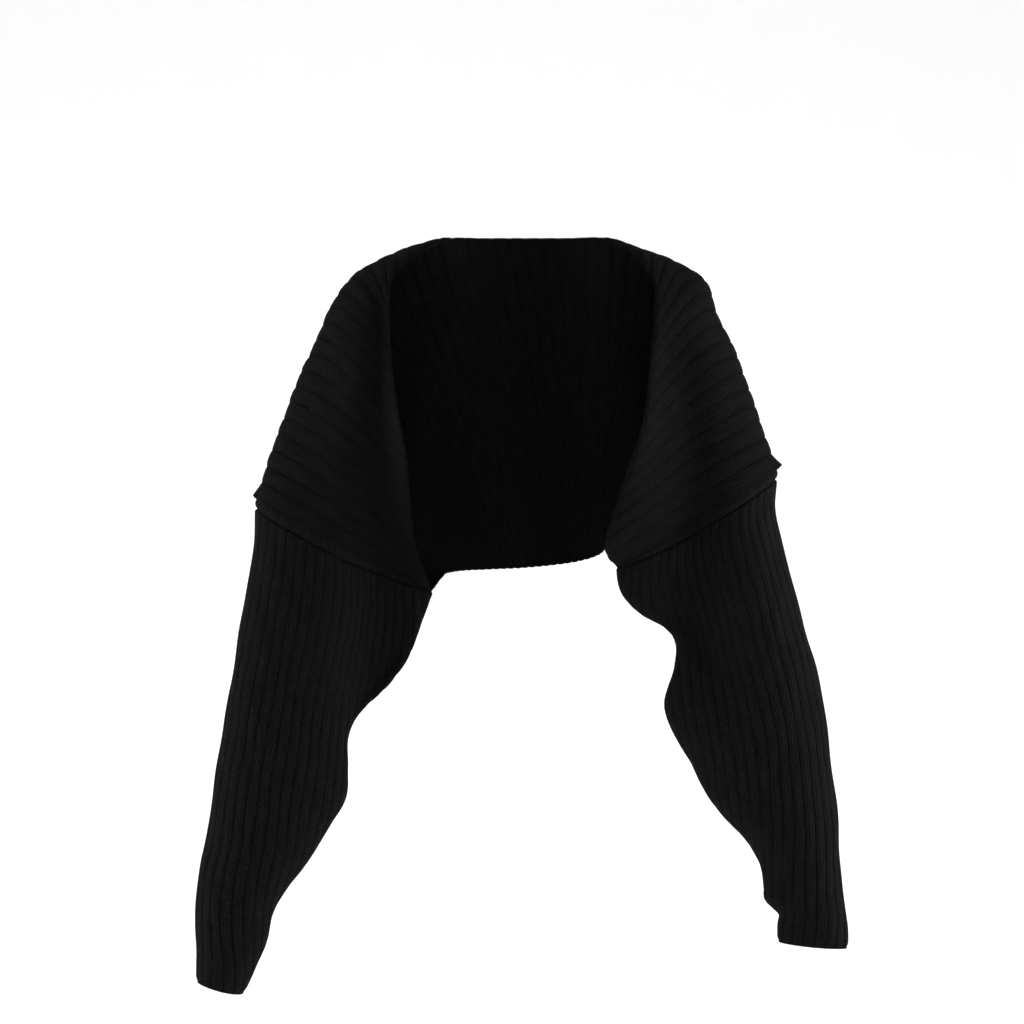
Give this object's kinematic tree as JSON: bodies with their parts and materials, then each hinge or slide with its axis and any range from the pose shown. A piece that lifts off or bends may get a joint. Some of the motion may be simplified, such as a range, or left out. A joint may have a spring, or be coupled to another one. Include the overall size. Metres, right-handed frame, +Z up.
{
  "type": "knitted batwing shrug",
  "caption": "Open-fronted rib-knit shrug with long batwing sleeves, in the hollow form it has when worn.",
  "frame": {"origin": "middle of the back neck edge's inner face, where the shrug rests on the nape of its wearer's neck", "axes": "+Z up, +X the viewer's right, the front faces -Y"},
  "size_m": [0.7272, 0.2353, 0.8541],
  "materials": {
    "knit": "near-black wool-blend rib knit, matt and slightly fuzzy"
  },
  "bodies": {
    "root": {"body_panel": "knit", "sleeve_left": "knit", "sleeve_right": "knit"}
  },
  "joints": []
}
